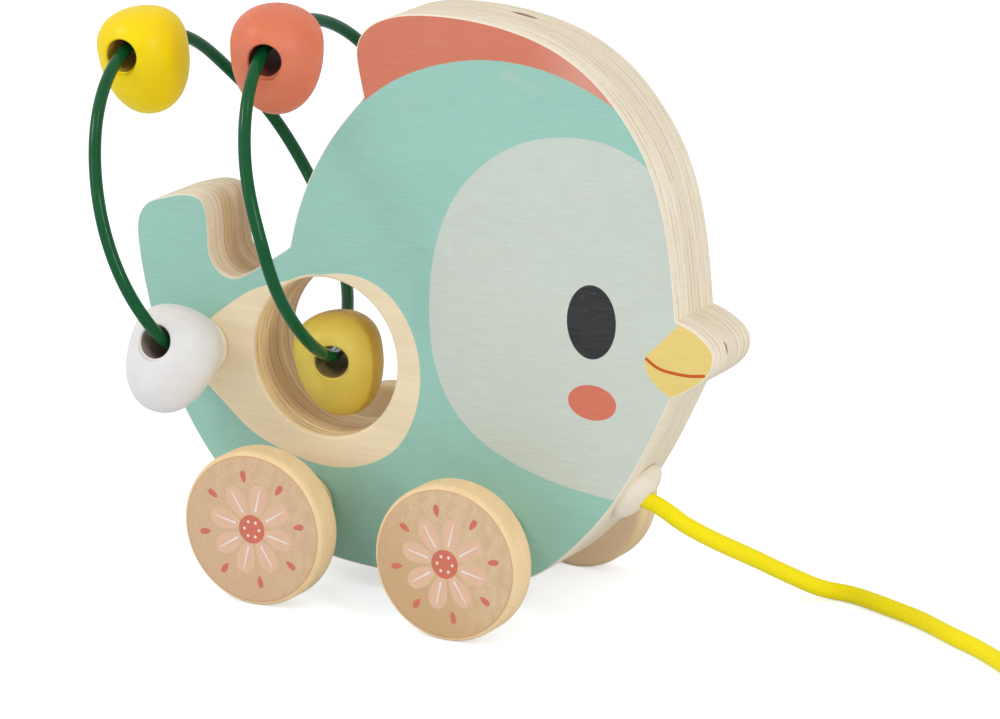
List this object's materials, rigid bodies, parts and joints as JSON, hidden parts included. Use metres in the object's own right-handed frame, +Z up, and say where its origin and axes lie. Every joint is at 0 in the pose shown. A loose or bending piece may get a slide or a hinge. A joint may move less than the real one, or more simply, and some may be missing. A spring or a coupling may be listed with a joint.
{
  "type": "pull-along bead maze toy",
  "caption": "Wooden pull-along bird on wheels with a looped green wire that carries painted beads, and a yellow pull cord.",
  "frame": {"origin": "on the floor, under the middle of the toy without its cord", "axes": "+X towards the bird's beak, +Y towards its right side, +Z up"},
  "size_m": [0.3295, 0.0953, 0.158],
  "materials": {
    "painted_plywood": "satin",
    "beech": "matte",
    "pale_wood": "satin",
    "coated_wire": "gloss",
    "cord": "matte",
    "paper_band": "matte",
    "yellow_paint": "satin",
    "coral_paint": "satin",
    "white_paint": "satin",
    "mustard_paint": "satin"
  },
  "bodies": {
    "bird": {"bird_body": "painted_plywood", "maze_wire": "coated_wire", "wire_cap_left": "pale_wood", "wire_cap_right": "pale_wood", "cord_plug": "pale_wood", "anchor_knot": "cord", "pull_cord": "cord", "cord_coil": "cord", "cord_tie": "paper_band", "cord_end": "cord", "pull_bead": "pale_wood", "end_knot": "cord"},
    "front_wheels": {"front_axle": "beech", "front_wheel_left": "beech", "front_wheel_right": "beech", "front_spacer_left": "beech", "front_spacer_right": "beech"},
    "rear_wheels": {"rear_axle": "beech", "rear_wheel_left": "beech", "rear_wheel_right": "beech", "rear_spacer_left": "beech", "rear_spacer_right": "beech"},
    "yellow_bead": {"bead_yellow": "yellow_paint"},
    "coral_bead": {"bead_coral": "coral_paint"},
    "white_bead": {"bead_white": "white_paint"},
    "mustard_bead": {"bead_mustard": "mustard_paint"}
  },
  "joints": [
    {"name": "front_axle_turns", "type": "hinge", "parent": "bird", "child": "front_wheels", "pos_m": [0.0335, 0, 0.021], "axis": [0, 1, 0], "continuous": true},
    {"name": "rear_axle_turns", "type": "hinge", "parent": "bird", "child": "rear_wheels", "pos_m": [-0.0242, 0, 0.021], "axis": [0, 1, 0], "continuous": true},
    {"name": "yellow_bead_slides", "type": "hinge", "parent": "bird", "child": "yellow_bead", "pos_m": [-0.067, 0, 0.0967], "axis": [0.9363, 0, 0.3511], "range_deg": [-50, 55]},
    {"name": "coral_bead_slides", "type": "hinge", "parent": "bird", "child": "coral_bead", "pos_m": [-0.0191, 0.0007, 0.1052], "axis": [0.9504, 0, 0.3111], "range_deg": [-60, 60]},
    {"name": "white_bead_slides", "type": "hinge", "parent": "bird", "child": "white_bead", "pos_m": [-0.0384, -0.0138, 0.0889], "axis": [0.9598, 0.195, 0.202], "range_deg": [-32, 0]},
    {"name": "mustard_bead_slides", "type": "hinge", "parent": "bird", "child": "mustard_bead", "pos_m": [-0.0308, -0.0055, 0.094], "axis": [0.9006, 0.2899, 0.3239], "range_deg": [-18, 10]}
  ]
}
